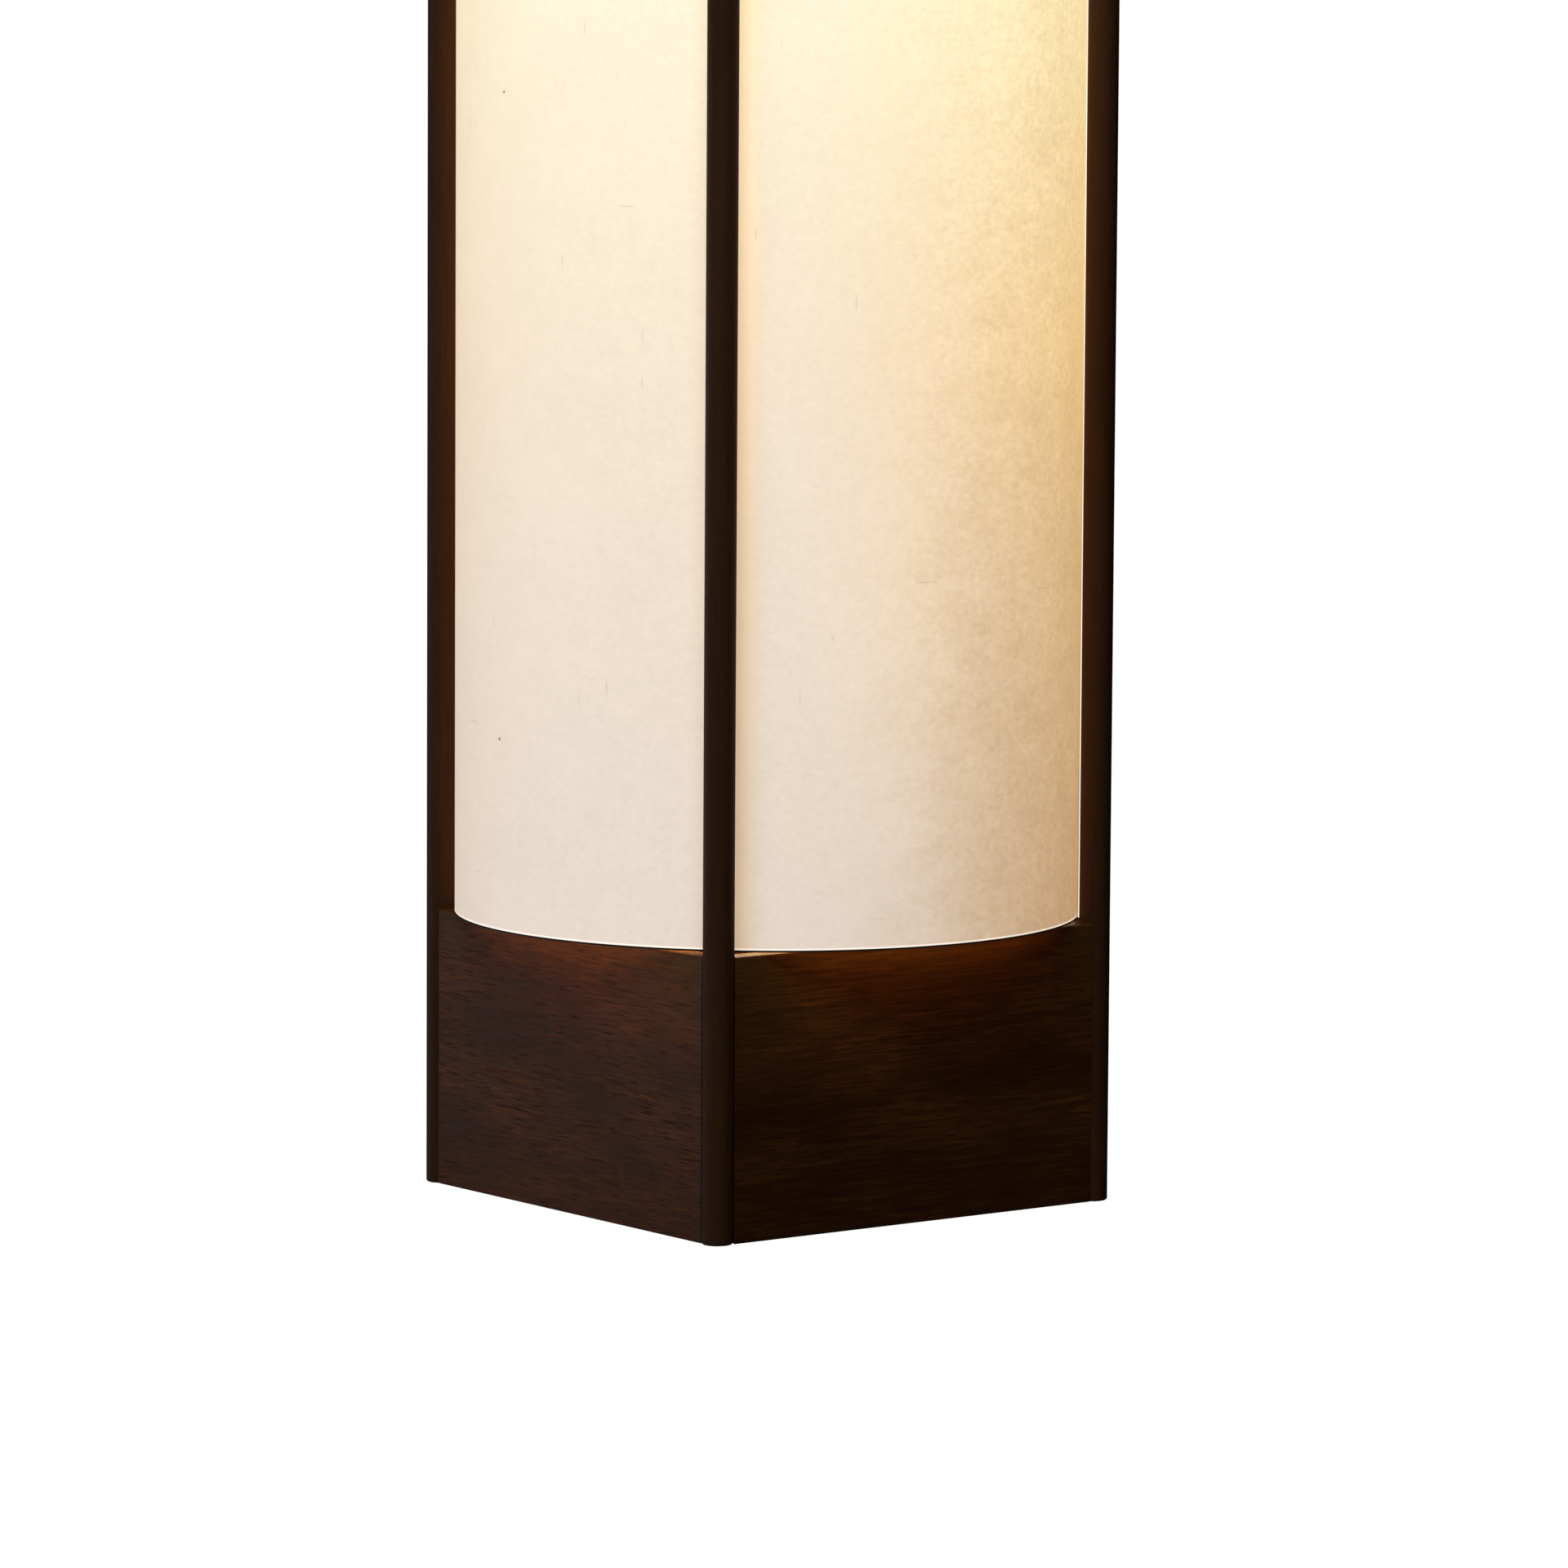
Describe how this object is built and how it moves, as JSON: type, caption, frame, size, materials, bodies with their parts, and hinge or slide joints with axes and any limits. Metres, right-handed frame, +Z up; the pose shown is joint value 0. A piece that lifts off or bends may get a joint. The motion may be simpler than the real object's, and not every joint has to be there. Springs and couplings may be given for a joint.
{
  "type": "pendant lamp",
  "caption": "Square hanging lantern with round wooden corner posts, flat wooden panels at top and bottom, and a rolled parchment shade round a screw-in bulb.",
  "frame": {"origin": "mouth of the cord gland at the top, on the lantern's axis", "axes": "+Z up along the hanging cord, -Y the front panel, +X the right-hand panel"},
  "size_m": [0.2434, 0.2445, 0.8004],
  "materials": {
    "dark_wood": "satin oil",
    "parchment": "matte",
    "steel": "zinc plated",
    "brass": "satin",
    "dark_plastic": "satin",
    "white_plastic": "gloss",
    "ceramic": "unglazed",
    "rubber": "matte",
    "opal": "opal"
  },
  "bodies": {
    "lantern": {"post_front_left": "dark_wood", "post_front_right": "dark_wood", "post_back_right": "dark_wood", "post_back_left": "dark_wood", "lower_panel_front": "dark_wood", "lower_panel_right": "dark_wood", "lower_panel_back": "dark_wood", "lower_panel_left": "dark_wood", "upper_panel_front": "dark_wood", "upper_panel_right": "dark_wood", "upper_panel_back": "dark_wood", "upper_panel_left": "dark_wood", "top_board": "dark_wood", "shade_sheet": "parchment", "hanging_stem": "steel", "upper_washer": "steel", "lower_washer": "steel", "upper_stem_nut": "steel", "lower_stem_nut": "steel", "holder_terminal_screw_left": "steel", "holder_terminal_screw_right": "steel", "shade_spider": "steel", "shade_bottom_ring": "steel", "gland_body": "brass", "gland_nut": "brass", "holder_centre_contact": "brass", "holder_screw_shell": "brass", "holder_body": "dark_plastic", "holder_cap": "dark_plastic", "holder_shade_ring": "dark_plastic", "holder_contact_block": "ceramic", "gland_seal": "rubber"},
    "bulb_contact": {"bulb_tip": "steel"},
    "bulb": {"bulb_globe": "opal", "bulb_housing": "white_plastic", "bulb_cap": "steel", "bulb_insulator": "dark_plastic"}
  },
  "joints": [
    {"name": "bulb_travel", "type": "slide", "parent": "lantern", "child": "bulb_contact", "axis": [0, 0, -1], "range_m": [0, 0.01992]},
    {"name": "bulb_turn", "type": "hinge", "parent": "bulb_contact", "child": "bulb", "pos_m": [0, 0, -0.13135], "axis": [0, 0, -1], "range_deg": [0, 1980]}
  ],
  "couplings": [
    {"joint": "bulb_travel", "follows": "bulb_turn", "m_per_rad": 0.00057614}
  ]
}
